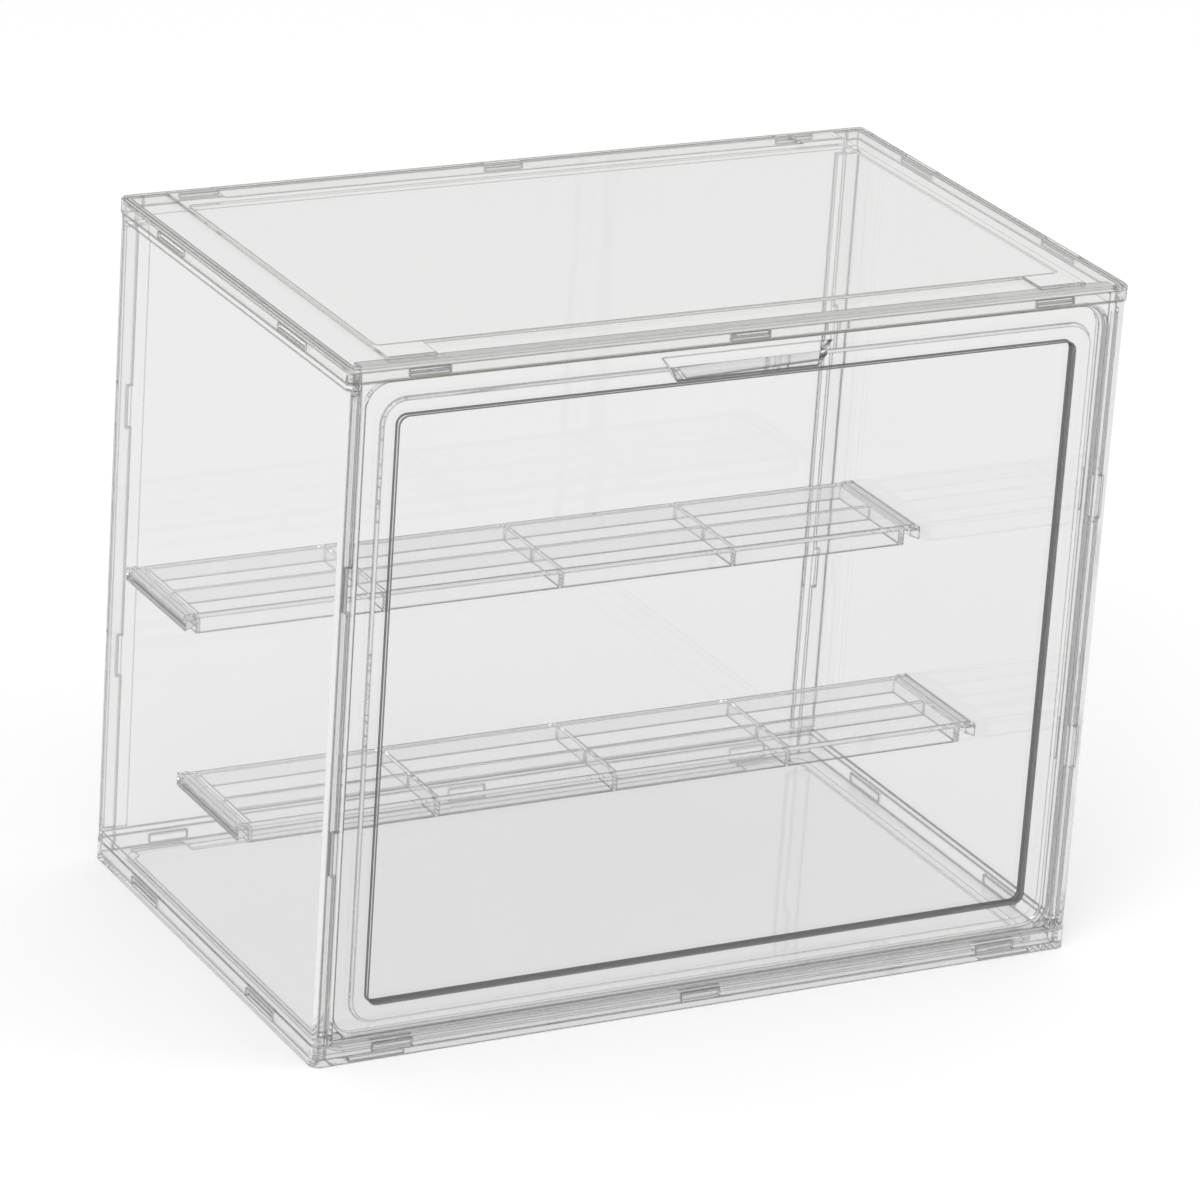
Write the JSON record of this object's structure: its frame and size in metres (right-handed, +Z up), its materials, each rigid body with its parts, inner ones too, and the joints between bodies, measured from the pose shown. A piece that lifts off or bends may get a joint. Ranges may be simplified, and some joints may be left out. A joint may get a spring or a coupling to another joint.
{
  "type": "acrylic display box",
  "caption": "Clear acrylic display box with a lid that clips on, a framed door that drops forward, and stepped shelves that lift off ledges inside.",
  "frame": {"origin": "centre of the footprint, on the surface that the base stands on", "axes": "+X to the right of someone facing the door, +Y from the door to the back, +Z up"},
  "size_m": [0.3, 0.19, 0.254],
  "materials": {
    "clear_shell": "gloss",
    "clear_door": "gloss",
    "clear_shelf": "gloss"
  },
  "bodies": {
    "cabinet": {"base_panel": "clear_shell", "lid_panel": "clear_shell", "back_panel": "clear_shell", "left_panel": "clear_shell", "right_panel": "clear_shell", "front_frame": "clear_shell"},
    "door": {"door_panel": "clear_door"},
    "upper_step": {"upper_shelf": "clear_shelf"},
    "lower_step": {"lower_shelf": "clear_shelf"}
  },
  "joints": [
    {"name": "door_hinge", "type": "hinge", "parent": "cabinet", "child": "door", "pos_m": [0, -0.0916, 0.0097], "axis": [1, 0, 0], "range_deg": [0, 90]},
    {"name": "upper_shelf_lift", "type": "slide", "parent": "cabinet", "child": "upper_step", "axis": [0, 0, 1], "range_m": [0, 0.12]},
    {"name": "lower_shelf_lift", "type": "slide", "parent": "cabinet", "child": "lower_step", "axis": [0, 0, 1], "range_m": [0, 0.12]}
  ]
}
